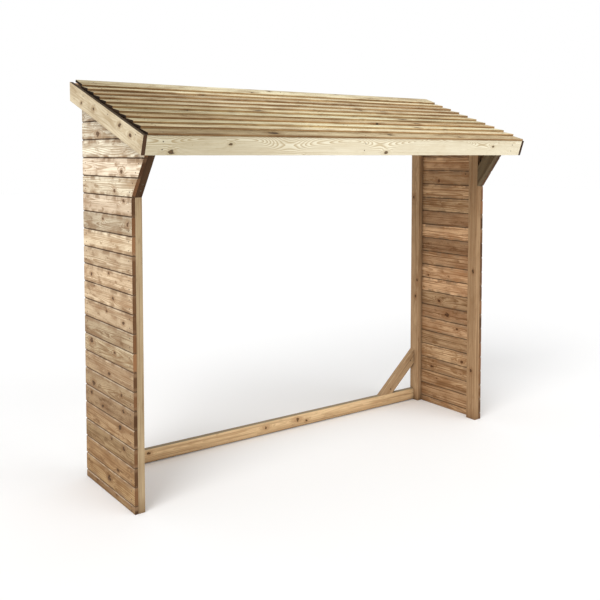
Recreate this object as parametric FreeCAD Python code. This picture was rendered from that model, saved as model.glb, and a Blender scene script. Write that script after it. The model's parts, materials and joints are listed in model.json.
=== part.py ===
import FreeCAD, Part
import math
import os

# Lean-to firewood rack: two boarded side panels, a lapped board roof and an open front and back.
# Millimetres, +Z up, +Y towards the wall behind the rack, +X along the rack.
# The origin is on the ground, in the middle of the rack's overall width and depth.

# ---- overall sizes -------------------------------------------------------------------------------
BACK_Y = 416.0               # plane of the rack's back, which stands against a wall
PANEL_DEPTH = 570.0          # side panel, from the front post's face to the back
PANEL_HALF_WIDTH = 1158.0    # middle of the rack to the outer face of the cladding
ROOF_FRONT_Y = -409.0        # front end of the plane that the roof boards lie on
ROOF_BACK_Z = 1990.0         # height of that plane at the back
ROOF_PITCH = 18.6            # degrees
ROOF_HALF_LENGTH = 1200.0    # half the length of a roof board

# ---- timber --------------------------------------------------------------------------------------
POST_W = 70.0                # wide side of posts, rafters, rails and braces
POST_T = 35.0                # narrow side
POST_ARRIS = 2.5             # rounding of their long edges
BOARD_T = 17.0               # cladding thickness
BOARD_COVER = 88.0           # height that one cladding board covers
TRIM_W = 88.0                # fascia and barge boards
TRIM_T = 18.0
TRIM_RISE = 4.0              # their top edge above the plane of the rafters
ROOF_BOARD_W = 88.0
ROOF_BOARD_T = 11.0
ROOF_EXPOSURE = 76.0         # visible part of each lapped roof board
ROOF_BOARDS = 11
BUTT_OVERHANG = 4.0          # front edge of the lowest roof board past the fascia
TRIM_ARRIS = 1.2             # small chamfer on trim and roof boards

# ---- cladding profile ----------------------------------------------------------------------------
VEE = 4.5                    # chamfer beside each joint on the outer face
INNER_CHAMFER = 1.5
JOINT_GAP = 0.6
TONGUE_T = 4.9
TONGUE_H = 6.0
GROOVE_T = 5.5
GROOVE_DEPTH = 7.0
BOTTOM_STRIP = 36.7          # ripped board under the first full one
FULL_ROWS = 22               # full-width boards above the strip
SQUARE_ROWS = 16             # of those, the ones with no cut at the front or the top
ROOF_CLEARANCE = 16.0        # top of the cladding under the rafter plane
ROWS_IN_GROUPS = (2, 2, 3, 3, 3, 3)      # square rows nailed up together, from the bottom

# ---- braces and rails ----------------------------------------------------------------------------
KNEE_ANGLE = 36.5            # degrees from vertical
RAIL_LIFT = 5.0              # bottom rail above the ground
BACK_BRACE_ANGLE = 42.0      # degrees from horizontal
BACK_BRACE_FOOT = 173.0      # rise of its lower edge above the bottom rail at the post

# ---- fixings -------------------------------------------------------------------------------------
NAIL_R = 2.8
NAIL_HEAD_T = 0.9
SCREW_R = 4.2
SCREW_HEAD_T = 1.4
RECESS_W = 1.1               # one arm of the cross recess in a screw head
RECESS_L = 4.6
RECESS_DEPTH = 0.9

# ---- worked out from the above -------------------------------------------------------------------
FRONT_Y = BACK_Y - PANEL_DEPTH
PITCH = math.radians(ROOF_PITCH)
ROOF_FRONT_Z = ROOF_BACK_Z - (BACK_Y - ROOF_FRONT_Y) * math.tan(PITCH)
INNER_FACE = PANEL_HALF_WIDTH - BOARD_T
POST_INNER = INNER_FACE - POST_T
LAP_TILT = math.degrees(math.asin(ROOF_BOARD_T / ROOF_EXPOSURE))
FIRST_TILT = math.degrees(math.asin(TRIM_RISE / (ROOF_BOARD_W - BUTT_OVERHANG - TRIM_T - TRIM_ARRIS)))
LAST_LIFT = ROOF_BOARD_W * math.sin(math.radians(LAP_TILT))
KNEE = math.radians(KNEE_ANGLE)
KNEE_FOOT_Z = BOTTOM_STRIP + SQUARE_ROWS * BOARD_COVER
RAIL_TOP = RAIL_LIFT + POST_W
BIG = 4000.0                 # cutting tools are this long, so they pass right through

X_AXIS = FreeCAD.Vector(1, 0, 0)
Y_AXIS = FreeCAD.Vector(0, 1, 0)
Z_AXIS = FreeCAD.Vector(0, 0, 1)
ORIGIN = FreeCAD.Vector(0, 0, 0)
SIDES = (("left", -1), ("right", 1))


def save(shape, node):
    """Write one node as a STEP file."""
    shape.exportStep("parts/" + node + ".step")


def roof_z(y, normal=0.0):
    """Height at y of a plane that is parallel to the rafter plane and 'normal' above it."""
    return ROOF_FRONT_Z + (y - ROOF_FRONT_Y) * math.tan(PITCH) + normal / math.cos(PITCH)


def prism_x(outline, x0, x1):
    """Solid with a (y, z) outline, from x0 to x1."""
    points = [FreeCAD.Vector(x0, y, z) for y, z in outline]
    face = Part.Face(Part.makePolygon(points + points[:1]))
    return face.extrude(FreeCAD.Vector(x1 - x0, 0, 0))


def prism_y(outline, y0, y1):
    """Solid with an (x, z) outline, from y0 to y1."""
    points = [FreeCAD.Vector(x, y0, z) for x, z in outline]
    face = Part.Face(Part.makePolygon(points + points[:1]))
    return face.extrude(FreeCAD.Vector(0, y1 - y0, 0))


def box(x0, x1, y0, y1, z0, z1):
    """Axis-aligned block between two corners."""
    return Part.makeBox(x1 - x0, y1 - y0, z1 - z0, FreeCAD.Vector(x0, y0, z0))


def long_edges(shape, direction):
    """Straight edges of a block that run along a direction."""
    return [edge for edge in shape.Edges if abs(edge.tangentAt(edge.FirstParameter).dot(direction)) > 0.999]


def planed(shape, direction, radius=POST_ARRIS):
    """Round the long edges of a length of timber, as a planing machine leaves them."""
    return shape.makeFillet(radius, long_edges(shape, direction))


def mirrored(shape, side):
    """The same piece on the left (-1) or the right (1); pieces are drawn on the right."""
    if side > 0:
        return shape
    return shape.mirror(ORIGIN, X_AXIS)


def on_slope(shape):
    """Move a shape drawn with y along the slope and z square to it into its place on the roof."""
    shape.rotate(ORIGIN, X_AXIS, ROOF_PITCH)
    shape.translate(FreeCAD.Vector(0, ROOF_FRONT_Y, ROOF_FRONT_Z))
    return shape


# ---- frame ---------------------------------------------------------------------------------------

def post(y0):
    """Upright of a side panel, cut to the slope under the side rafter."""
    stock = planed(box(POST_INNER, INNER_FACE, y0, y0 + POST_W, 0, ROOF_BACK_Z), Z_AXIS)
    under_rafter = [(y0 - 1, -1), (y0 + POST_W + 1, -1),
                    (y0 + POST_W + 1, roof_z(y0 + POST_W + 1, -POST_W)), (y0 - 1, roof_z(y0 - 1, -POST_W))]
    return stock.common(prism_x(under_rafter, POST_INNER - 1, INNER_FACE + 1))


def rafter(x0, back_y):
    """Sloping rafter behind the fascia, with a plumb cut at the back."""
    stock = planed(box(x0, x0 + POST_T, TRIM_T, PANEL_DEPTH * 2, -POST_W, 0), Y_AXIS)
    stock = on_slope(stock)
    return stock.common(box(x0 - 1, x0 + POST_T + 1, -BIG, back_y, 0, BIG))


def knee_brace():
    """Brace from the front post's face up to the rafter where the roof overhangs."""
    stock = planed(box(POST_INNER, INNER_FACE, 0, POST_W, -BIG / 8, BIG / 8), Z_AXIS)
    stock.rotate(ORIGIN, X_AXIS, KNEE_ANGLE)
    stock.translate(FreeCAD.Vector(0, FRONT_Y, KNEE_FOOT_Z))
    reach = BIG / 8
    space = [(FRONT_Y, KNEE_FOOT_Z - reach), (FRONT_Y, roof_z(FRONT_Y, -POST_W)),
             (FRONT_Y - reach, roof_z(FRONT_Y - reach, -POST_W)), (FRONT_Y - reach, KNEE_FOOT_Z - reach)]
    return stock.common(prism_x(space, POST_INNER - 1, INNER_FACE + 1))


def bottom_rail():
    """Rail between the rear posts, flush with the back and just off the ground."""
    rail = box(-POST_INNER, POST_INNER, BACK_Y - POST_T, BACK_Y, RAIL_LIFT, RAIL_TOP)
    return planed(rail, X_AXIS)


def back_brace():
    """Diagonal between the bottom rail's top and the rear post's inner face."""
    angle = math.radians(BACK_BRACE_ANGLE)
    stock = planed(box(-BIG / 8, BIG / 8, BACK_Y - POST_T, BACK_Y, 0, POST_W), X_AXIS)
    stock.rotate(ORIGIN, Y_AXIS, -BACK_BRACE_ANGLE)
    stock.translate(FreeCAD.Vector(POST_INNER, 0, RAIL_TOP + BACK_BRACE_FOOT))
    run = (BACK_BRACE_FOOT + POST_W / math.cos(angle)) / math.tan(angle)
    corner = box(POST_INNER - run - 10, POST_INNER, BACK_Y - POST_T, BACK_Y, RAIL_TOP, ROOF_BACK_Z / 2)
    return stock.common(corner)


def end_batten():
    """Batten under the ends of the roof boards, which the barge board is nailed to."""
    stock = box(ROOF_HALF_LENGTH - POST_T, ROOF_HALF_LENGTH, TRIM_T, PANEL_DEPTH * 2, -POST_T, 0)
    stock = on_slope(planed(stock, Y_AXIS, TRIM_ARRIS))
    return stock.common(box(0, BIG, -BIG, BACK_Y, 0, BIG))


def top_rail():
    """Rear rail between the side rafters; its bevelled top carries the last roof board's back edge."""
    y0 = BACK_Y - POST_T
    base = roof_z(y0, LAST_LIFT) - POST_W
    outline = [(y0, base), (BACK_Y, base), (BACK_Y, roof_z(BACK_Y, LAST_LIFT)), (y0, roof_z(y0, LAST_LIFT))]
    return prism_x(outline, -POST_INNER, POST_INNER)


def build_frame():
    for name, side in SIDES:
        save(mirrored(post(FRONT_Y), side), "post_front_" + name)
        save(mirrored(post(BACK_Y - POST_W), side), "post_rear_" + name)
        save(mirrored(rafter(POST_INNER, BACK_Y), side), "rafter_" + name)
        save(mirrored(knee_brace(), side), "knee_brace_" + name)
        save(mirrored(end_batten(), side), "roof_batten_" + name)
    save(rafter(-POST_T / 2, BACK_Y - POST_T), "rafter_middle")
    save(back_brace(), "back_brace_right")
    save(bottom_rail(), "rail_bottom_rear")
    save(top_rail(), "rail_top_rear")


# ---- cladding ------------------------------------------------------------------------------------

def panel_outline():
    """Side view of the boarded panel: square below, following the knee brace and the roof above."""
    top_front_z = roof_z(FRONT_Y, -ROOF_CLEARANCE)
    # the knee brace's front edge rises forward until it meets the sloping top edge
    rise = (top_front_z - KNEE_FOOT_Z) / (1 + math.tan(KNEE) * math.tan(PITCH))
    nose = (FRONT_Y - rise * math.tan(KNEE), KNEE_FOOT_Z + rise)
    back_top = (BACK_Y, roof_z(BACK_Y, -ROOF_CLEARANCE))
    return [(FRONT_Y, 0), (BACK_Y, 0), back_top, nose, (FRONT_Y, KNEE_FOOT_Z)]


def board_profile(height, groove):
    """Section of a tongued board: (outward, up) points from its inner lower corner."""
    top = height - JOINT_GAP
    middle = BOARD_T / 2
    points = [(0, INNER_CHAMFER), (INNER_CHAMFER, 0)]
    if groove:
        points += [(middle - GROOVE_T / 2, 0), (middle - GROOVE_T / 2, GROOVE_DEPTH),
                   (middle + GROOVE_T / 2, GROOVE_DEPTH), (middle + GROOVE_T / 2, 0),
                   (BOARD_T - VEE, 0), (BOARD_T, VEE)]
    else:
        points += [(BOARD_T - INNER_CHAMFER, 0), (BOARD_T, INNER_CHAMFER)]
    points += [(BOARD_T, top - VEE), (BOARD_T - VEE, top),
               (middle + TONGUE_T / 2, top), (middle + TONGUE_T / 2, top + TONGUE_H),
               (middle - TONGUE_T / 2, top + TONGUE_H), (middle - TONGUE_T / 2, top),
               (INNER_CHAMFER, top), (0, top - INNER_CHAMFER)]
    return points


def cladding_board(row):
    """One board of the right panel. Row 0 is the ripped strip at the ground."""
    height = BOTTOM_STRIP if row == 0 else BOARD_COVER
    base = 0 if row == 0 else BOTTOM_STRIP + (row - 1) * BOARD_COVER
    outline = [(INNER_FACE + out, base + up) for out, up in board_profile(height, row > 0)]
    front = FRONT_Y if row <= SQUARE_ROWS else ROOF_FRONT_Y
    board = prism_y(outline, front, BACK_Y)
    if row > SQUARE_ROWS:
        board = board.common(prism_x(panel_outline(), INNER_FACE - 1, PANEL_HALF_WIDTH + 1))
    return board


def build_cladding():
    for name, side in SIDES:
        save(mirrored(cladding_board(0), side), "cladding_" + name + "_strip")
        row = 1
        for count in ROWS_IN_GROUPS:
            boards = [mirrored(cladding_board(row + step), side) for step in range(count)]
            save(Part.makeCompound(boards), "cladding_%s_%02d_%02d" % (name, row, row + count - 1))
            row += count
        for row in range(SQUARE_ROWS + 1, FULL_ROWS + 1):
            save(mirrored(cladding_board(row), side), "cladding_%s_%02d" % (name, row))


# ---- roof ----------------------------------------------------------------------------------------

def lay_on_roof(shape, index):
    """Place a shape drawn on a flat roof board (y from its front edge, z from its underside)."""
    if index == 0:
        tilt, lift = FIRST_TILT, 0.0
    elif index == ROOF_BOARDS - 1:
        tilt, lift = 0.0, LAST_LIFT
    else:
        tilt, lift = LAP_TILT, 0.0
    # the back edge stays down while the front edge rises on to the board below
    shape.rotate(FreeCAD.Vector(0, ROOF_BOARD_W, 0), X_AXIS, -tilt)
    shortening = ROOF_BOARD_W * (1 - math.cos(math.radians(tilt)))
    shape.translate(FreeCAD.Vector(0, index * ROOF_EXPOSURE - BUTT_OVERHANG - shortening, lift))
    return on_slope(shape)


def roof_board(index):
    """One lapped roof board, with its long edges eased."""
    board = box(-ROOF_HALF_LENGTH, ROOF_HALF_LENGTH, 0, ROOF_BOARD_W, 0, ROOF_BOARD_T)
    board = board.makeChamfer(TRIM_ARRIS, long_edges(board, X_AXIS))
    return lay_on_roof(board, index)


def fascia():
    """Front board between the barge boards, square to the slope."""
    board = box(-ROOF_HALF_LENGTH, ROOF_HALF_LENGTH, 0, TRIM_T, TRIM_RISE - TRIM_W, TRIM_RISE)
    return on_slope(planed(board, X_AXIS, TRIM_ARRIS))


def barge():
    """Board over the ends of the roof boards: square cut in front, plumb cut at the back."""
    board = box(ROOF_HALF_LENGTH, ROOF_HALF_LENGTH + TRIM_T, 0, PANEL_DEPTH * 2, TRIM_RISE - TRIM_W, TRIM_RISE)
    board = on_slope(planed(board, Y_AXIS, TRIM_ARRIS))
    return board.common(box(0, BIG, -BIG, BACK_Y, 0, BIG))


def build_roof():
    for index in range(ROOF_BOARDS):
        save(roof_board(index), "roof_board_%02d" % (index + 1))
    save(fascia(), "fascia")
    for name, side in SIDES:
        save(mirrored(barge(), side), "barge_board_" + name)


# ---- fixings -------------------------------------------------------------------------------------

def nail_head(point, outward):
    """Flat nail head on a surface, with its rim eased; the shank is buried and left out."""
    head = Part.makeCylinder(NAIL_R, NAIL_HEAD_T, FreeCAD.Vector(*point), outward)
    rim = [edge for edge in head.Edges if edge.Closed]
    outer = max(rim, key=lambda edge: edge.CenterOfMass.dot(outward))
    return head.makeChamfer(NAIL_HEAD_T / 2, [outer])


def screw_head(point, outward, across):
    """Low screw head with a cross recess; 'across' is any direction in the surface."""
    base = FreeCAD.Vector(*point)
    head = Part.makeCylinder(SCREW_R, SCREW_HEAD_T, base, outward)
    outer = max((edge for edge in head.Edges if edge.Closed), key=lambda edge: edge.CenterOfMass.dot(outward))
    head = head.makeChamfer(SCREW_HEAD_T / 2, [outer])
    up = outward.cross(across)
    for arm in (across, up):
        other = outward.cross(arm)
        floor = base + outward * (SCREW_HEAD_T - RECESS_DEPTH)
        corner = floor - arm * (RECESS_L / 2) - other * (RECESS_W / 2)
        points = [corner, corner + arm * RECESS_L, corner + arm * RECESS_L + other * RECESS_W,
                  corner + other * RECESS_W]
        slot = Part.Face(Part.makePolygon(points + points[:1])).extrude(outward * SCREW_HEAD_T)
        head = head.cut(slot)
    return head


def cladding_nails():
    """Two nails through every board into each post, or into the knee brace above it."""
    heads = []
    for row in range(FULL_ROWS + 1):
        height = BOTTOM_STRIP if row == 0 else BOARD_COVER
        base = 0 if row == 0 else BOTTOM_STRIP + (row - 1) * BOARD_COVER
        for share in (0.27, 0.73):
            z = base + height * share
            for y in nail_columns(z):
                heads.append(nail_head((PANEL_HALF_WIDTH, y, z), X_AXIS))
    return heads


def nail_columns(z):
    """Places along the panel where a board at height z is nailed."""
    edge = 28.0
    columns = []
    if z < roof_z(BACK_Y - POST_W / 2, -ROOF_CLEARANCE) - NAIL_R * 2:
        columns.append(BACK_Y - POST_W / 2)
    if z < KNEE_FOOT_Z:
        columns.append(FRONT_Y + POST_W / 2)
    else:
        forward = FRONT_Y - (z - KNEE_FOOT_Z) * math.tan(KNEE) + edge / math.cos(KNEE)
        follow_roof = ROOF_FRONT_Y + (z + edge - ROOF_FRONT_Z) / math.tan(PITCH)
        column = max(forward, follow_roof)
        if column < BACK_Y - POST_W * 1.5:
            columns.append(column)
    return columns


def roof_nails():
    """Two nails through every roof board into each rafter."""
    heads = []
    rafter_middles = (-(POST_INNER + POST_T / 2), 0.0, POST_INNER + POST_T / 2)
    for index in range(ROOF_BOARDS):
        for x in rafter_middles:
            for y in (18.0, 52.0):
                head = nail_head((x, y, ROOF_BOARD_T), Z_AXIS)
                heads.append(lay_on_roof(head, index))
    return heads


def trim_nails():
    """Nails through the fascia into the rafters, and through the barge boards into their battens."""
    heads = []
    for x in (-(POST_INNER + POST_T / 2), 0.0, POST_INNER + POST_T / 2):
        for z in (-22.0, -58.0):
            heads.append(on_slope(nail_head((x, 0, z), -Y_AXIS)))
    for index in range(1, ROOF_BOARDS, 2):
        head = on_slope(nail_head((ROOF_HALF_LENGTH + TRIM_T, index * ROOF_EXPOSURE, -POST_T / 2), X_AXIS))
        heads.append(head)
        heads.append(head.mirror(ORIGIN, X_AXIS))
    return heads


def frame_screws():
    """Screws at both ends of the back brace and at the foot of the knee braces."""
    angle = math.radians(BACK_BRACE_ANGLE)
    along = FreeCAD.Vector(math.cos(angle), 0, math.sin(angle))
    height = RAIL_TOP + BACK_BRACE_FOOT + POST_W / 2 / math.cos(angle)
    top = FreeCAD.Vector(POST_INNER, BACK_Y - POST_T, height)
    length = (top.z - RAIL_TOP) / math.sin(angle)
    brace_screws = []
    for distance in (42.0, length - 46.0):
        brace_screws.append(screw_head(tuple(top - along * distance), -Y_AXIS, X_AXIS))
    knee_out = FreeCAD.Vector(0, -math.cos(KNEE), -math.sin(KNEE))
    knee_up = FreeCAD.Vector(0, -math.sin(KNEE), math.cos(KNEE))
    knee_screws = []
    for distance in (38.0, 74.0):
        foot = FreeCAD.Vector(POST_INNER + POST_T / 2, FRONT_Y, KNEE_FOOT_Z) + knee_up * distance
        knee_screws.append(screw_head(tuple(foot), knee_out, X_AXIS))
    return brace_screws + knee_screws + [screw.mirror(ORIGIN, X_AXIS) for screw in knee_screws]


def build_fixings():
    heads = cladding_nails()
    for name, side in SIDES:
        save(Part.makeCompound([mirrored(head, side) for head in heads]), "cladding_nails_" + name)
    save(Part.makeCompound(roof_nails()), "roof_nails")
    save(Part.makeCompound(trim_nails()), "trim_nails")
    save(Part.makeCompound(frame_screws()), "frame_screws")


os.makedirs("parts", exist_ok=True)
build_frame()
build_cladding()
build_roof()
build_fixings()
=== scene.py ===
import json
import math
import random

import bpy
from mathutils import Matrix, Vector


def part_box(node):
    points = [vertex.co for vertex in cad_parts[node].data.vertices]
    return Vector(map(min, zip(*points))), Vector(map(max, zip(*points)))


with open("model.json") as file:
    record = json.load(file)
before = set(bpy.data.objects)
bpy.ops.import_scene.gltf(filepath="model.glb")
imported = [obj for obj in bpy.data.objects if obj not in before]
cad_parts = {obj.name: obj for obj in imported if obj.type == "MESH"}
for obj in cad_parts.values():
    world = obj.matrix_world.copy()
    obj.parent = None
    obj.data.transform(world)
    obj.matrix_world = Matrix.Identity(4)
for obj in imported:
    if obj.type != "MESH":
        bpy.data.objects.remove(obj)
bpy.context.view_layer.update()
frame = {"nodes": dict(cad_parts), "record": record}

# ---- camera, in metres and degrees ---------------------------------------------------------------
CAMERA_PLACE = (-2.702, -3.536, 1.636)
CAMERA_TURN = 36.18          # to the right of the +Y direction
CAMERA_DIP = 3.15            # below the horizon
CAMERA_LENS = 49.18          # mm, on a 36 mm sensor
CAMERA_SHIFT = -0.167

# ---- the rack's own measures, in metres ----------------------------------------------------------
FIRST_JOINT = 0.0367         # height of the lowest joint of the cladding
COURSE = 0.088               # height that one cladding board covers
ROOF_SLOPE = math.tan(math.radians(18.6))
GROUND = 0.0

# ---- growth of the timber, in metres -------------------------------------------------------------
RING_MIN = 0.0026            # narrowest growth rings
RING_SPREAD = 0.0030         # how much wider they are on the widest-ringed board
KNOT_PITCH = 0.22            # mean distance between scattered knots along a board
KNOT_ROW = 0.09              # and across it
KNOT_LEAST = 0.0004          # radius of the smallest scattered knot
KNOT_GROWTH = 0.030          # radius of the largest one, for each unit of 'plenty'
PITH_ASIDE = 0.11            # spread of the pith's place beside the boards
PITH_DEPTH = 0.020           # least distance from the pith to the middle of a board
PITH_DEPTH_SPREAD = 0.06
WANDER_ASIDE = 0.05          # how far the pith strays along a board
WANDER_DEPTH = 0.07
RIPPLE = 0.008               # unevenness of the rings
KNOT_BEND = 0.011            # how far a knot pushes the rings aside
GRAIN_DEPTH = 0.0009         # relief of the planed surface
CORNER_SHADE_REACH = 0.045        # distance from an inner corner that the painted shade spreads to
EDGE_SHIFT = 3.0             # narrow edges take their knots from this far off in the pattern

# ---- light and floor -----------------------------------------------------------------------------
ROOM_LIGHT = 0.68            # strength of the white surroundings as a light
FLOOR_SIZE = 60.0

# ---- tints of single members; the rest are plain; knee braces get painted shade, the bottom rail partly painted light ---
PLAIN = (1.0, 1.0, 1.0)
MEMBER_TINT_AND_PAINTED_LIGHT = {
    # painted shade: both knee braces are darkened as if shaded by the roof
    "knee_brace_left": (0.145, 0.105, 0.08),
    "knee_brace_right": (0.29, 0.30, 0.29),
    "post_front_left": (0.82, 0.91, 0.95),
    "post_front_right": (0.76, 0.70, 0.66),
    "post_rear_right": (0.85, 0.80, 0.78),
    "back_brace_right": (0.84, 0.88, 0.90),
    # painted light: the bottom rail is brightened where it lies in shade, as well as matched in colour
    "rail_bottom_rear": (1.54, 1.67, 1.72),
    "roof_board_01": (0.84, 0.78, 0.72),
    "roof_board_03": (1.05, 1.06, 1.06),
    "roof_board_04": (0.96, 0.88, 0.80),
    "roof_board_06": (0.90, 0.85, 0.80),
    "roof_board_09": (0.88, 0.84, 0.80),
    "roof_board_11": (0.86, 0.86, 0.86),
}

# ---- the larger knots, to the nearest centimetre or so; a size is half a knot's length ------------
SMALL = 0.010
MEDIUM = 0.013
LARGE = 0.019
SPIKE = 0.027                # a knot cut lengthwise
KNOT_SHAPE = 0.65            # width of a knot over its length
THROUGH = 0.03               # reach into the board, enough for both of its faces

# side panels: height in courses above the lowest joint, place along Y, size
LEFT_KNOTS = (
    (19.3, 0.22, LARGE), (17.3, -0.05, MEDIUM), (16.3, 0.03, MEDIUM), (15.8, -0.07, MEDIUM),
    (14.6, -0.11, MEDIUM), (14.7, 0.17, SMALL), (11.5, 0.32, MEDIUM), (11.8, 0.11, SMALL),
    (10.5, 0.06, SMALL), (9.4, -0.05, MEDIUM), (9.7, 0.14, SMALL), (7.7, 0.33, LARGE),
    (7.6, 0.05, SMALL), (6.3, 0.12, MEDIUM), (5.3, 0.31, LARGE), (5.5, -0.02, SMALL),
    (4.7, 0.34, MEDIUM), (4.3, 0.20, MEDIUM), (4.7, -0.04, MEDIUM), (3.7, 0.00, LARGE),
    (2.8, 0.10, SMALL), (2.7, -0.04, MEDIUM), (0.5, 0.13, LARGE), (1.3, 0.03, SMALL),
)
RIGHT_KNOTS = (
    (7.4, 0.19, MEDIUM), (6.5, 0.12, LARGE), (2.4, 0.25, MEDIUM),
    (3.3, -0.01, MEDIUM), (5.6, 0.03, SMALL), (9.2, 0.29, SMALL),
)

# other members: place along the member, distance from its middle line, size
MEMBER_KNOTS = {
    "fascia": (
        (0.15, -0.030, MEDIUM), (-1.08, -0.030, MEDIUM), (-0.79, 0.005, SMALL), (0.96, 0.005, SMALL),
    ),
    "barge_board_left": (
        (0.12, -0.005, MEDIUM), (-0.17, 0.010, MEDIUM), (-0.28, 0.0, MEDIUM), (0.27, -0.02, SMALL),
    ),
    "post_front_right": ((0.92, -0.010, MEDIUM), (0.30, 0.0, MEDIUM)),
    "post_rear_right": ((1.36, 0.010, MEDIUM), (0.70, -0.010, MEDIUM)),
    "rail_bottom_rear": ((-0.83, 0.015, MEDIUM), (0.21, -0.010, SMALL)),
    "roof_board_01": ((-0.55, -0.01, SPIKE), (0.19, 0.0, LARGE)),
    "roof_board_03": ((0.50, -0.02, LARGE),),
    "roof_board_04": ((-0.89, 0.0, MEDIUM), (0.57, -0.02, LARGE)),
    "roof_board_05": ((0.53, -0.01, SPIKE),),
    "roof_board_06": ((-0.40, -0.01, SPIKE),),
    "roof_board_07": ((0.36, 0.01, LARGE), (0.52, -0.01, LARGE)),
    "roof_board_09": ((0.39, -0.02, MEDIUM),),
    "roof_board_11": ((-0.07, 0.02, MEDIUM),),
}


# ==================================================================================================
# Grain: each board gets its own frame (along, across, through) and its own random numbers
# ==================================================================================================

def islands(mesh):
    """Polygon indices of each separate solid, lowest first; vertices at one place count as one."""
    seen = {}
    label = [seen.setdefault(tuple(round(c, 5) for c in v.co), len(seen)) for v in mesh.vertices]
    parent = list(range(len(seen)))

    def root(i):
        while parent[i] != i:
            parent[i] = parent[parent[i]]
            i = parent[i]
        return i

    def height(polygons):
        return min(mesh.vertices[v].co.z for p in polygons for v in mesh.polygons[p].vertices)

    for polygon in mesh.polygons:
        first = root(label[polygon.vertices[0]])
        for v in polygon.vertices[1:]:
            parent[root(label[v])] = first
    groups = {}
    for polygon in mesh.polygons:
        groups.setdefault(root(label[polygon.vertices[0]]), []).append(polygon.index)
    return sorted(groups.values(), key=height)


def canonical(direction):
    """The direction or its opposite, whichever has its largest part positive."""
    biggest = max(direction, key=abs)
    return direction if biggest > 0 else -direction


def board_axes(mesh, polygons):
    """(along, across, through) of a board, from the directions that its faces look in."""
    areas = {}
    for index in polygons:
        polygon = mesh.polygons[index]
        normal = canonical(polygon.normal.copy())
        key = tuple(round(c, 2) for c in normal)
        total, _ = areas.get(key, (0.0, None))
        areas[key] = (total + polygon.area, normal)
    ranked = sorted(areas.values(), key=lambda entry: -entry[0])
    through = ranked[0][1].normalized()
    across = next(n for _, n in ranked if abs(n.dot(through)) < 0.05)
    across = (across - through * across.dot(through)).normalized()
    along = canonical(across.cross(through))
    return along, across, through


def middle(values):
    return (min(values) + max(values)) / 2


def write_grain(obj, tint):
    """Store each board's own coordinates, its random numbers and the kinds of its faces on the mesh.

    grain: along, across, through.  surface: along and sideways on the face itself.  tint: a colour; on
    the knee braces painted shade, on the bottom rail partly painted light.
    faces: 1 on sawn ends, 1 on narrow edges, 1 on faces that look away from the middle of the rack.
    """
    mesh = obj.data
    names = ("grain", "board", "faces", "surface", "tint")
    for name in names:
        mesh.attributes.new(name, "FLOAT_VECTOR", "CORNER")
    layers = [mesh.attributes[name].data for name in names]
    for number, polygons in enumerate(islands(mesh)):
        axes = board_axes(mesh, polygons)
        corners = [mesh.vertices[v].co for p in polygons for v in mesh.polygons[p].vertices]
        centre = [middle([co.dot(axis) for co in corners]) for axis in axes]
        dice = random.Random(obj.name + str(number))
        seed = (dice.random(), dice.random(), dice.random())
        for index in polygons:
            polygon = mesh.polygons[index]
            facing = [abs(polygon.normal.dot(axis)) for axis in axes]
            outward = polygon.normal.x * polygon.center.x > 0.2
            kind = (float(facing[0] > 0.6), float(facing[1] > 0.8), float(outward))
            for loop in polygon.loop_indices:
                co = mesh.vertices[mesh.loops[loop].vertex_index].co
                place = [co.dot(axis) - c for axis, c in zip(axes, centre)]
                sideways = place[1] if facing[2] > facing[1] else place[2] + EDGE_SHIFT
                values = (place, seed, kind, (place[0], sideways, 0.0), tint)
                for layer, value in zip(layers, values):
                    layer[loop].vector = value


# ==================================================================================================
# Node helpers
# ==================================================================================================

class Value:
    """A number inside a material: a node's output that plain arithmetic works on."""

    def __init__(self, graph, socket):
        self.graph = graph
        self.socket = socket

    def __add__(self, other):
        return self.graph.math("ADD", self, other)

    def __sub__(self, other):
        return self.graph.math("SUBTRACT", self, other)

    def __mul__(self, other):
        return self.graph.math("MULTIPLY", self, other)

    def __truediv__(self, other):
        return self.graph.math("DIVIDE", self, other)


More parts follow.
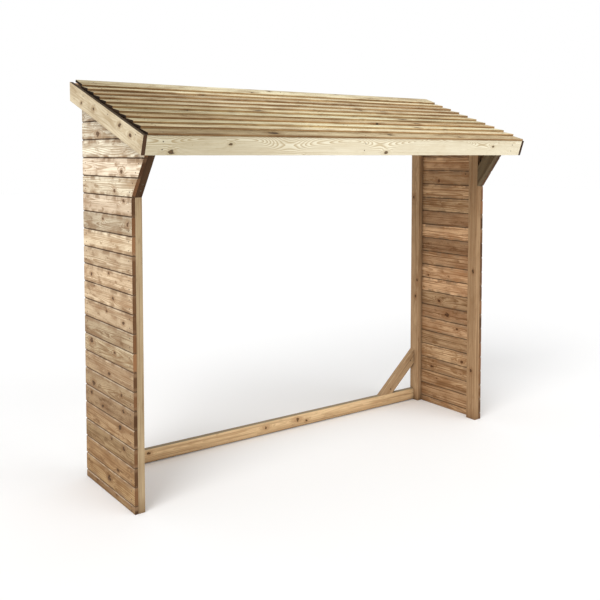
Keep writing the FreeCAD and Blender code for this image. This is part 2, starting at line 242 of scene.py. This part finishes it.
class Graph:
    """Builds a material's nodes from short calls.

    Numbers come back as Value, colours and vectors as bare sockets.
    """

    def __init__(self, name):
        self.material = bpy.data.materials.new(name)
        self.material.use_nodes = True
        self.tree = self.material.node_tree
        self.tree.nodes.clear()

    def add(self, kind, **settings):
        node = self.tree.nodes.new(kind)
        for name, value in settings.items():
            setattr(node, name, value)
        return node

    def put(self, socket, value):
        """Link an input to an output, or set it to a plain value."""
        if isinstance(value, Value):
            value = value.socket
        if isinstance(value, bpy.types.NodeSocket):
            self.tree.links.new(value, socket)
        else:
            socket.default_value = value

    def math(self, operation, a, b=0.0):
        node = self.add("ShaderNodeMath", operation=operation)
        self.put(node.inputs[0], a)
        self.put(node.inputs[1], b)
        return Value(self, node.outputs[0])

    def hypot(self, x, y):
        return self.math("SQRT", x * x + y * y)

    def remap(self, value, low, high, to_low=0.0, to_high=1.0):
        """A smooth step from to_low at low to to_high at high."""
        node = self.add("ShaderNodeMapRange", interpolation_type="SMOOTHSTEP")
        for socket, number in zip(node.inputs, (value, low, high, to_low, to_high)):
            self.put(socket, number)
        return Value(self, node.outputs[0])

    def vector(self, x=0.0, y=0.0, z=0.0):
        node = self.add("ShaderNodeCombineXYZ")
        for socket, value in zip(node.inputs, (x, y, z)):
            self.put(socket, value)
        return node.outputs[0]

    def split(self, vector):
        node = self.add("ShaderNodeSeparateXYZ")
        self.put(node.inputs[0], vector)
        return tuple(Value(self, socket) for socket in node.outputs)

    def attribute(self, name):
        return self.split(self.add("ShaderNodeAttribute", attribute_name=name).outputs["Vector"])

    def place(self):
        """(x, y, z) in the rack's own frame."""
        return self.split(self.add("ShaderNodeTexCoord").outputs["Object"])

    def upward(self):
        """1 on level tops, -1 on undersides."""
        return self.split(self.add("ShaderNodeNewGeometry").outputs["Normal"])[2]

    def noise(self, x, y, z, detail=2.0, roughness=0.5):
        node = self.add("ShaderNodeTexNoise", noise_dimensions="3D")
        self.put(node.inputs["Vector"], self.vector(x, y, z))
        node.inputs["Scale"].default_value = 1.0
        node.inputs["Detail"].default_value = detail
        node.inputs["Roughness"].default_value = roughness
        return Value(self, node.outputs[0])

    def mix(self, factor, a, b, blend="MIX"):
        """Colour b over colour a; each is a socket or three numbers."""
        node = self.add("ShaderNodeMix", data_type="RGBA", blend_type=blend)
        self.put(node.inputs[0], factor)
        self.put(node.inputs[6], a if isinstance(a, bpy.types.NodeSocket) else (*a, 1.0))
        self.put(node.inputs[7], b if isinstance(b, bpy.types.NodeSocket) else (*b, 1.0))
        return node.outputs[2]

    def stain(self, factor, colour, tint):
        """Multiply a colour by a tint, as far as the factor says."""
        return self.mix(factor, colour, tint, "MULTIPLY")

    def scale_colour(self, colour, factor):
        return self.stain(1.0, colour, self.vector(factor, factor, factor))

    def finish(self, shader):
        output = self.add("ShaderNodeOutputMaterial")
        self.put(output.inputs[0], shader.outputs[0])
        return self.material


def scaled(colour, factor):
    return [part * factor for part in colour]


class Board:
    """What the mesh says about the board under a point; see write_grain."""

    def __init__(self, g):
        self.g = g
        self.along, self.across, self.through = g.attribute("grain")
        self.face_along, self.face_side, _ = g.attribute("surface")
        self.dice = g.attribute("board")
        self.is_end, self.is_edge, self.is_outward = g.attribute("faces")

    def noise(self, per_length, per_width, shift_length=0.0, shift_width=0.0, detail=3.0, roughness=0.6):
        """Noise drawn out along the board, in waves per metre; the shifts make each board differ."""
        return self.g.noise(
            self.along * per_length + shift_length,
            self.across * per_width + shift_width,
            self.through * per_width,
            detail,
            roughness,
        )


# ==================================================================================================
# Knots: (centre, half-sizes) of the larger ones, and distances to the nearest one in knot radii
# ==================================================================================================

def panel_knots(side, knots):
    """The large knots of a side panel."""
    low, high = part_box("cladding_" + side + "_strip")
    face = (low[0] + high[0]) / 2
    return [
        ((face, y, FIRST_JOINT + rows * COURSE), (THROUGH, size, size * KNOT_SHAPE))
        for rows, y, size in knots
    ]


def member_knots(start, slope=0.0):
    """The large knots of the members whose names begin with `start`."""
    spots = []
    for node in sorted(name for name in MEMBER_KNOTS if name.startswith(start)):
        low, high = (Vector(corner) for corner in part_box(node))
        extent = high - low
        length, width, _ = sorted(range(3), key=lambda axis: -extent[axis])
        for place, aside, size in MEMBER_KNOTS[node]:
            centre = (low + high) / 2
            centre[width] += aside + slope * (place - centre[length])
            centre[length] = place
            halves = [THROUGH] * 3
            halves[length] = size
            halves[width] = size * KNOT_SHAPE
            spots.append((tuple(centre), tuple(halves)))
    return spots


def scattered_knots(g, board, plenty):
    """Distance to the nearest scattered knot: (round, drawn out along the grain)."""
    luck_of_board = board.dice[2]
    at_u = board.face_along / KNOT_PITCH + luck_of_board * 40
    at_v = board.face_side / KNOT_ROW + luck_of_board * 170
    cells = g.add("ShaderNodeTexVoronoi", voronoi_dimensions="2D", feature="F1")
    g.put(cells.inputs["Vector"], g.vector(at_u, at_v))
    cells.inputs["Scale"].default_value = 1.0
    cells.inputs["Randomness"].default_value = 1.0
    centre_u, centre_v, _ = g.split(cells.outputs["Position"])
    luck, shape, _ = g.split(cells.outputs["Color"])
    luck = g.math("MAXIMUM", luck - (1.0 - plenty), 0.0)
    size = luck * luck * (KNOT_GROWTH / plenty) + KNOT_LEAST
    stretch = shape * 0.9 + 0.7
    du = (at_u - centre_u) * KNOT_PITCH / size
    dv = (at_v - centre_v) * KNOT_ROW / size * stretch
    return g.hypot(du, dv), g.hypot(du * 0.35, dv)


def nearest_marked(g, ratio, spots):
    """The smaller of `ratio` and the distance to each large knot."""
    place = g.add("ShaderNodeTexCoord").outputs["Object"]
    for centre, halves in spots:
        local = g.add("ShaderNodeVectorMath", operation="MULTIPLY_ADD")
        g.put(local.inputs[0], place)
        local.inputs[1].default_value = [1 / half for half in halves]
        local.inputs[2].default_value = [-c / half for c, half in zip(centre, halves)]
        length = g.add("ShaderNodeVectorMath", operation="LENGTH")
        g.put(length.inputs[0], local.outputs[0])
        ratio = g.math("MINIMUM", ratio, Value(g, length.outputs["Value"]))
    return ratio


def knot_distances(g, board, spots, plenty):
    """(round, drawn out) distance to the nearest knot of any kind, with a frayed outline."""
    frayed = board.noise(55.0, 95.0, detail=2.0) - 0.5
    small, halo = scattered_knots(g, board, plenty)
    ratio = nearest_marked(g, small, spots)
    halo = g.math("MINIMUM", halo, ratio)
    return ratio + frayed * 1.9, halo + frayed * 2.2


# ==================================================================================================
# Pine
# ==================================================================================================

def late_wood(g, board, pull, wave):
    """1 on the dark late wood of each ring: it darkens slowly across the ring and ends sharply.

    The pith lies beside the board and wanders along it, so flat faces show long arches. Rings bend
    round knots, by `pull`. A larger `wave` makes the arches shorter.
    """
    a, b, c = board.dice
    wander = g.noise(board.along * (0.9 * wave) + a * 50, b * 30, 0.0, 1.0) - 0.5
    side = board.across - (a - 0.5) * PITH_ASIDE + wander * (WANDER_ASIDE * wave)
    depth = board.through + b * PITH_DEPTH_SPREAD + PITH_DEPTH + wander * (WANDER_DEPTH * wave)
    ripple = board.noise(3.0, 26.0, 0.0, a * 19, detail=2.0, roughness=0.5) - 0.5
    radius = g.hypot(side, depth) + ripple * RIPPLE - pull * KNOT_BEND
    spacing = c * RING_SPREAD + RING_MIN
    phase = g.math("FRACT", radius / spacing)
    return g.remap(phase, 0.30, 0.90) * g.remap(phase, 0.92, 1.0, 1.0, 0.0)


def pine(name, early, late, stain, knot, end, spread=0.16, streaks=0.5, blotches=0.4, veins=0.5,
         contrast=0.45, corner_shade=0.0, weather=None, spots=(), plenty=0.5, fine=1.0, wave=1.0):
    """Planed pine: ring and knot figure, fibres, stains, a tone of its own for each board, dark ends.

    early, late: the two woods of a ring.  stain: streaks and blotches.  knot, end: knots, sawn ends.
    spread: how much boards differ.  streaks, blotches, veins, contrast, crevices: strengths; the last
    sets painted shade in inner corners.
    plenty: share of knots that grow.  fine: how much finer the streaks are.  wave: see late_wood.
    """
    g = Graph(name)
    board = Board(g)
    a, b, c = board.dice
    ratio, halo = knot_distances(g, board, spots, plenty)
    heart = g.remap(ratio, 0.62, 0.95, 1.0, 0.0)
    bark = g.remap(ratio, 0.45, 0.75) * g.remap(ratio, 0.85, 1.15, 1.0, 0.0)
    knot_rings = g.remap(g.math("FRACT", ratio * 3.6), 0.2, 0.9)
    pull = g.math("EXPONENT", halo * halo * -0.16)
    rings = late_wood(g, board, pull, wave)

    fibre = board.noise(6.0, 420.0, 0.0, a)
    streak = board.noise(1.3, 60.0 * fine, b * 33, c * 9, detail=4.0, roughness=0.62)
    vein = board.noise(1.9, 150.0 * fine, a * 61, b * 17, roughness=0.55)
    smudge = board.noise(11.0, 34.0, b * 47, a * 23, detail=4.0, roughness=0.65)
    blotch = board.noise(5.0, 14.0, c * 71)

    colour = g.mix(rings * contrast, early, late)
    colour = g.mix(g.remap(streak, 0.48, 0.70, 0.0, streaks), colour, stain)
    colour = g.mix(g.remap(blotch, 0.45, 0.75, 0.0, blotches), colour, stain)
    colour = g.mix(g.remap(blotch, 0.50, 0.25, 0.0, blotches * 0.5), colour, scaled(early, 1.15))
    vein_strength = board.is_outward * (-0.5 * veins) + veins
    colour = g.mix(g.remap(vein, 0.52, 0.63) * vein_strength, colour, scaled(stain, 0.75))
    colour = g.mix(g.remap(smudge, 0.54, 0.70, 0.0, blotches), colour, scaled(stain, 0.8))
    colour = g.mix(g.remap(fibre, 0.35, 0.75, 0.0, 0.25), colour, stain)
    colour = g.stain(1.0, colour, g.mix(b, (1.0, 0.97, 0.93), (0.96, 1.0, 0.965)))
    colour = g.scale_colour(colour, (c - 0.5) * (spread * 2) + 1.0)

    colour = g.mix(g.remap(pull, 0.15, 0.95) * 0.75, colour, stain)
    colour = g.mix(heart * 0.92, colour, g.mix(knot_rings, knot, scaled(knot, 1.6)))
    colour = g.mix(bark * 0.75, colour, scaled(knot, 0.45))
    sawn = g.scale_colour(g.mix(rings * 0.6, end, scaled(end, 0.45)), b + 0.5)
    colour = g.mix(board.is_end, colour, sawn)
    if weather:
        colour = weather(g, board, colour)
    # the member's tint: on the knee braces painted shade, on the bottom rail partly painted light
    tint = g.add("ShaderNodeAttribute", attribute_name="tint").outputs["Color"]
    colour = g.stain(1.0, colour, tint)
    # painted shade: inner corners darkened where members meet
    if corner_shade:
        colour = crevice_dirt(g, colour, corner_shade)

    bump = g.add("ShaderNodeBump")
    bump.inputs["Strength"].default_value = 0.55
    bump.inputs["Distance"].default_value = GRAIN_DEPTH
    g.put(bump.inputs["Height"], fibre * 0.6 + rings * 0.45 + heart * 0.8)
    shader = g.add("ShaderNodeBsdfPrincipled")
    shader.inputs["Specular IOR Level"].default_value = 0.12
    g.put(shader.inputs["Base Color"], colour)
    g.put(shader.inputs["Roughness"], fibre * 0.22 + 0.60 - heart * 0.14)
    g.put(shader.inputs["Normal"], bump.outputs[0])
    return g.finish(shader)


def crevice_dirt(g, colour, strength):
    """Painted shade in the inner corners where members meet."""
    corner = g.add("ShaderNodeAmbientOcclusion", samples=8)
    corner.inputs["Distance"].default_value = CORNER_SHADE_REACH
    openness = Value(g, corner.outputs["AO"])
    return g.mix(g.remap(openness, 0.80, 0.25, 0.0, strength), colour, (0.085, 0.050, 0.027))


# ==================================================================================================
# Weathering, with painted shade and painted highlights, of each kind of member
# ==================================================================================================

def near_joint(g, height, offset, reach):
    """1 on a line that lies `offset` above every joint of the cladding, fading over `reach`."""
    course = (height - (FIRST_JOINT + offset)) / COURSE
    away = g.math("ABSOLUTE", course - g.math("ROUND", course)) * COURSE
    return g.remap(away, reach * 0.35, reach, 1.0, 0.0)


def weather_cladding(g, board, colour):
    """Outer faces lighter above, darker below; inner faces brown, darker low down; joints grime and
    painted shade, a painted highlight under each; painted shade on faces looking down.
    """
    _, y, height = g.place()
    _, b, c = board.dice
    # outer faces: darker towards the floor, lighter and bluer towards the top
    darkened = g.mix(g.remap(height, 0.10, 1.20), (0.52, 0.405, 0.28), (0.99, 0.94, 0.89))
    outer_by_height = g.mix(g.remap(height, 1.0, 1.75), darkened, (1.08, 1.14, 1.26))
    sheltered = g.mix(c, (0.60, 0.435, 0.32), (0.94, 0.745, 0.60))
    sheltered = g.mix(g.remap(height, 0.70, 0.0, 0.0, 0.6), sheltered, (0.46, 0.34, 0.24))
    colour = g.stain(1.0, colour, g.mix(board.is_outward, sheltered, outer_by_height))

    patches = g.noise(y * 14.0, height * 9.0, b * 9.0, 3.0)
    soak = near_joint(g, height, -0.002, 0.026) * g.remap(patches, 0.44, 0.62, 0.0, 0.75)
    # painted highlight: a patchy light line on the outer faces just under each joint
    highlight_strength = board.is_outward * g.remap(patches, 0.62, 0.42, 0.05, 0.35)
    painted_highlight = near_joint(g, height, -0.0042, 0.0030) * highlight_strength
    # dark line at each joint: grime and painted shade in the groove
    joint_dirt_and_shade = near_joint(g, height, 0.0010, 0.0046) * g.remap(patches, 0.35, 0.6, 0.50, 0.95)
    # painted shade on faces that look down
    painted_underside_shade = g.remap(g.upward(), -0.2, -0.5, 0.0, 0.75)
    colour = g.mix(soak, colour, (0.27, 0.165, 0.09))
    colour = g.mix(painted_highlight, colour, (0.80, 0.68, 0.54))
    colour = g.stain(painted_underside_shade, colour, (0.42, 0.35, 0.30))
    return g.mix(joint_dirt_and_shade, colour, (0.085, 0.050, 0.027))


def weather_frame(g, board, colour):
    """Level tops near the ground hold water and go grey-brown; feet are damp."""
    _, _, height = g.place()
    wet = g.remap(g.upward(), 0.8, 0.97) * g.remap(height, 0.3, 0.2)
    colour = g.mix(wet * 0.85, colour, (0.17, 0.13, 0.085))
    return g.stain(g.remap(height, 0.10, 0.0, 0.0, 0.55), colour, (0.55, 0.47, 0.40))


def weather_roof(g, board, colour):
    """Narrow edges are darker, partly drip stain and partly painted shade on the risers; the left end is
    grey, the right end a little darker.
    """
    x, y, _ = g.place()
    # narrow edges: drip stain and painted shade
    colour = g.stain(board.is_edge * 0.9, colour, (0.52, 0.36, 0.24))
    tone = g.mix(g.remap(x + y * 0.5, -1.1, -0.2), (0.66, 0.64, 0.59), (1.05, 1.08, 1.09))
    tone = g.mix(g.remap(x, 0.2, 0.8), tone, (0.95, 0.93, 0.89))
    return g.stain(1.0, colour, tone)


def weather_fascia(g, board, colour):
    """The left end is darker and yellower."""
    x, _, _ = g.place()
    return g.stain(1.0, colour, g.mix(g.remap(x, -1.0, -0.1), (0.70, 0.68, 0.63), PLAIN))


def weather_barge(g, board, colour):
    """The upper edge, under the roof boards, is almost black."""
    top = board.is_edge * g.remap(g.upward(), 0.2, 0.6)
    return g.mix(top * 0.92, colour, (0.035, 0.02, 0.012))


# ==================================================================================================
# Materials, one for each slot of the record
# ==================================================================================================

def frame_timber():
    return pine(
        "frame_pine",
        early=(0.56, 0.38, 0.225),
        late=(0.32, 0.18, 0.09),
        stain=(0.30, 0.165, 0.078),
        knot=(0.075, 0.035, 0.014),
        end=(0.20, 0.11, 0.055),
        spread=0.07,
        streaks=0.6,
        corner_shade=0.75,
        weather=weather_frame,
        spots=member_knots("post") + member_knots("rail"),
        plenty=0.35,
    )


def cladding_timber():
    return pine(
        "cladding_pine",
        early=(0.77, 0.655, 0.49),
        late=(0.36, 0.235, 0.13),
        stain=(0.34, 0.21, 0.115),
        knot=(0.105, 0.054, 0.022),
        end=(0.25, 0.155, 0.085),
        spread=0.18,
        streaks=0.75,
        blotches=0.85,
        veins=0.95,
        contrast=0.8,
        corner_shade=0.6,
        weather=weather_cladding,
        spots=panel_knots("left", LEFT_KNOTS) + panel_knots("right", RIGHT_KNOTS),
        plenty=0.28,
    )


def roof_timber():
    return pine(
        "roof_pine",
        early=(0.92, 0.83, 0.60),
        late=(0.48, 0.34, 0.18),
        stain=(0.34, 0.225, 0.115),
        knot=(0.05, 0.025, 0.010),
        end=(0.040, 0.021, 0.010),
        spread=0.12,
        streaks=0.9,
        blotches=0.55,
        veins=0.8,
        weather=weather_roof,
        spots=member_knots("roof"),
        plenty=0.35,
        fine=1.7,
    )


def fascia_timber():
    return pine(
        "fascia_pine",
        early=(0.83, 0.80, 0.655),
        late=(0.42, 0.31, 0.16),
        stain=(0.58, 0.48, 0.31),
        knot=(0.11, 0.06, 0.025),
        end=(0.09, 0.05, 0.02),
        spread=0.03,
        streaks=0.35,
        blotches=0.25,
        veins=0.2,
        contrast=0.75,
        weather=weather_fascia,
        spots=member_knots("fascia"),
        plenty=0.12,
        wave=2.4,
    )


def barge_timber():
    return pine(
        "barge_pine",
        early=(0.66, 0.56, 0.41),
        late=(0.42, 0.30, 0.17),
        stain=(0.36, 0.25, 0.14),
        knot=(0.085, 0.042, 0.018),
        end=(0.07, 0.035, 0.017),
        spread=0.04,
        blotches=0.6,
        weather=weather_barge,
        spots=member_knots("barge", ROOF_SLOPE),
        plenty=0.3,
    )


def zinc(name, base, rust):
    """Dull plated steel with a little rust."""
    g = Graph(name)
    x, y, z = g.place()
    patches = g.noise(x * 420.0, y * 420.0, z * 420.0, 4.0, 0.65)
    shader = g.add("ShaderNodeBsdfPrincipled")
    shader.inputs["Metallic"].default_value = 0.7
    g.put(shader.inputs["Base Color"], g.mix(g.remap(patches, 0.42, 0.62), base, rust))
    g.put(shader.inputs["Roughness"], g.remap(patches, 0.3, 0.7, 0.42, 0.75))
    return g.finish(shader)


def dress_frame():
    """Give every CAD node its slot's material, and every board its grain."""
    materials = {
        "frame_timber": frame_timber(),
        "cladding_board": cladding_timber(),
        "roof_board": roof_timber(),
        "fascia_board": fascia_timber(),
        "barge_board": barge_timber(),
        "nail_steel": zinc("nail_zinc", (0.10, 0.085, 0.07), (0.07, 0.03, 0.015)),
        "screw_steel": zinc("screw_zinc", (0.15, 0.125, 0.08), (0.09, 0.045, 0.02)),
    }
    slots = {part["node"]: part["material_slot"] for part in frame["record"]["subparts"]}
    for node, obj in frame["nodes"].items():
        obj.data.materials.clear()
        obj.data.materials.append(materials[slots[node]])
        if not slots[node].endswith("_steel"):
            write_grain(obj, MEMBER_TINT_AND_PAINTED_LIGHT.get(node, PLAIN))


# ==================================================================================================
# Stage: floor, light and camera
# ==================================================================================================

def make_floor():
    material = bpy.data.materials.new("floor_paper")
    material.use_nodes = True
    shader = material.node_tree.nodes["Principled BSDF"]
    shader.inputs["Base Color"].default_value = (0.95, 0.95, 0.95, 1.0)
    shader.inputs["Roughness"].default_value = 0.9
    shader.inputs["Specular IOR Level"].default_value = 0.1
    bpy.ops.mesh.primitive_plane_add(size=FLOOR_SIZE, location=(0, 0, GROUND))
    floor = bpy.context.object
    floor.name = "floor"
    floor.data.materials.append(material)


def make_world():
    """White all round: the camera sees it at full strength, the rack is lit by a weaker one."""
    world = bpy.data.worlds.new("studio")
    bpy.context.scene.world = world
    world.use_nodes = True
    tree = world.node_tree
    tree.nodes.clear()
    seen = tree.nodes.new("ShaderNodeBackground")
    seen.inputs["Color"].default_value = (1.0, 1.0, 1.0, 1.0)
    lit = tree.nodes.new("ShaderNodeBackground")
    lit.inputs["Color"].default_value = (1.0, 1.0, 1.0, 1.0)
    lit.inputs["Strength"].default_value = ROOM_LIGHT
    path = tree.nodes.new("ShaderNodeLightPath")
    choose = tree.nodes.new("ShaderNodeMixShader")
    output = tree.nodes.new("ShaderNodeOutputWorld")
    tree.links.new(path.outputs["Is Camera Ray"], choose.inputs[0])
    tree.links.new(lit.outputs[0], choose.inputs[1])
    tree.links.new(seen.outputs[0], choose.inputs[2])
    tree.links.new(choose.outputs[0], output.inputs[0])


def soft_sun(name, source, strength, spread):
    """A broad distant light that shines from `source` to the middle of the floor; spread in degrees."""
    light = bpy.data.lights.new(name, "SUN")
    light.energy = strength
    light.angle = math.radians(spread)
    obj = bpy.data.objects.new(name, light)
    obj.location = source
    obj.rotation_euler = (-Vector(source)).to_track_quat("-Z", "Y").to_euler()
    bpy.context.scene.collection.objects.link(obj)


def make_camera():
    camera = bpy.data.objects.new("camera", bpy.data.cameras.new("camera"))
    camera.location = CAMERA_PLACE
    camera.rotation_euler = (math.radians(90 - CAMERA_DIP), 0, -math.radians(CAMERA_TURN))
    camera.data.lens = CAMERA_LENS
    camera.data.sensor_width = 36.0
    camera.data.shift_y = CAMERA_SHIFT
    bpy.context.scene.collection.objects.link(camera)
    bpy.context.scene.camera = camera


dress_frame()
make_floor()
make_world()
soft_sun("key", source=(-4.0, -2.2, 3.0), strength=1.9, spread=40)
soft_sun("fill", source=(1.5, -4.0, 1.6), strength=0.90, spread=60)
make_camera()
bpy.context.scene.view_settings.view_transform = "Standard"
